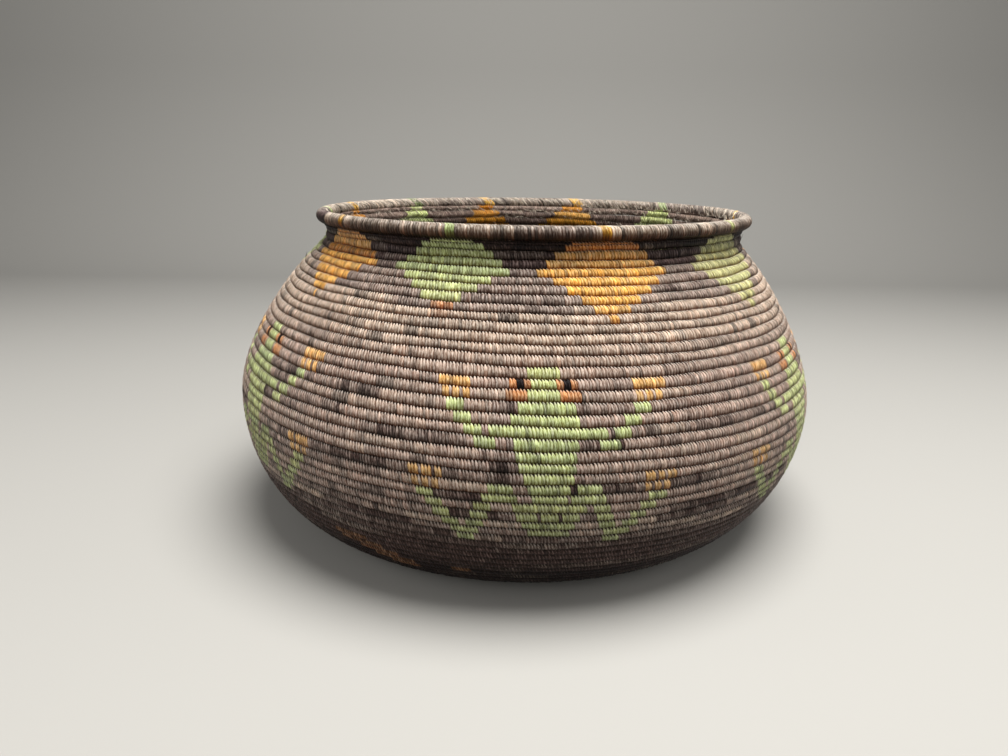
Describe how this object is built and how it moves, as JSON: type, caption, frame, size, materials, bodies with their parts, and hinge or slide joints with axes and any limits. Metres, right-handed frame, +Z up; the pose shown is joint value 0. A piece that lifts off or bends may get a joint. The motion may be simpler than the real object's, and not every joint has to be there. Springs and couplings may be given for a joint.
{
  "type": "coiled basket",
  "caption": "Wide coiled basket with a round belly, a hollow neck and a rolled rim, sewn round by round from a spiral coil of plant fibre, with frogs and diamonds in dyed stitches.",
  "frame": {"origin": "on the surface the basket stands on, at the centre of the basket's bounding box", "axes": "+Z up through the mouth; -Y is the front that shows a whole frog; +X is to the right as seen from the front"},
  "size_m": [0.4313, 0.431, 0.2274],
  "materials": {
    "knot_fibre": "matt plant fibre, knotted",
    "base_fibre": "matt palm fibre stitches over a grass bundle",
    "belly_fibre": "matt palm fibre stitches, taupe, with green and ochre figures",
    "shoulder_fibre": "matt palm fibre stitches, dark purple brown, with green and ochre diamonds",
    "rim_fibre": "smooth close wrapping of split palm fibre"
  },
  "bodies": {
    "root": {"start_knot": "knot_fibre", "base_coil": "base_fibre", "wall_round_01": "belly_fibre", "wall_round_02": "belly_fibre", "wall_round_03": "belly_fibre", "wall_round_04": "belly_fibre", "wall_round_05": "belly_fibre", "wall_round_06": "belly_fibre", "wall_round_07": "belly_fibre", "wall_round_08": "belly_fibre", "wall_round_09": "belly_fibre", "wall_round_10": "belly_fibre", "wall_round_11": "belly_fibre", "wall_round_12": "belly_fibre", "wall_round_13": "belly_fibre", "wall_round_14": "belly_fibre", "wall_round_15": "belly_fibre", "wall_round_16": "belly_fibre", "wall_round_17": "belly_fibre", "wall_round_18": "belly_fibre", "wall_round_19": "belly_fibre", "wall_round_20": "belly_fibre", "wall_round_21": "belly_fibre", "wall_round_22": "belly_fibre", "wall_round_23": "belly_fibre", "wall_round_24": "belly_fibre", "wall_round_25": "belly_fibre", "wall_round_26": "belly_fibre", "wall_round_27": "belly_fibre", "wall_round_28": "belly_fibre", "wall_round_29": "belly_fibre", "wall_round_30": "belly_fibre", "wall_round_31": "belly_fibre", "wall_round_32": "belly_fibre", "wall_round_33": "belly_fibre", "wall_round_34": "belly_fibre", "wall_round_35": "belly_fibre", "wall_round_36": "belly_fibre", "wall_round_37": "belly_fibre", "wall_round_38": "belly_fibre", "wall_round_39": "belly_fibre", "wall_round_40": "belly_fibre", "wall_round_41": "shoulder_fibre", "wall_round_42": "shoulder_fibre", "wall_round_43": "shoulder_fibre", "wall_round_44": "shoulder_fibre", "wall_round_45": "shoulder_fibre", "wall_round_46": "shoulder_fibre", "wall_round_47": "shoulder_fibre", "wall_round_48": "shoulder_fibre", "rim_roll": "rim_fibre"}
  },
  "joints": []
}
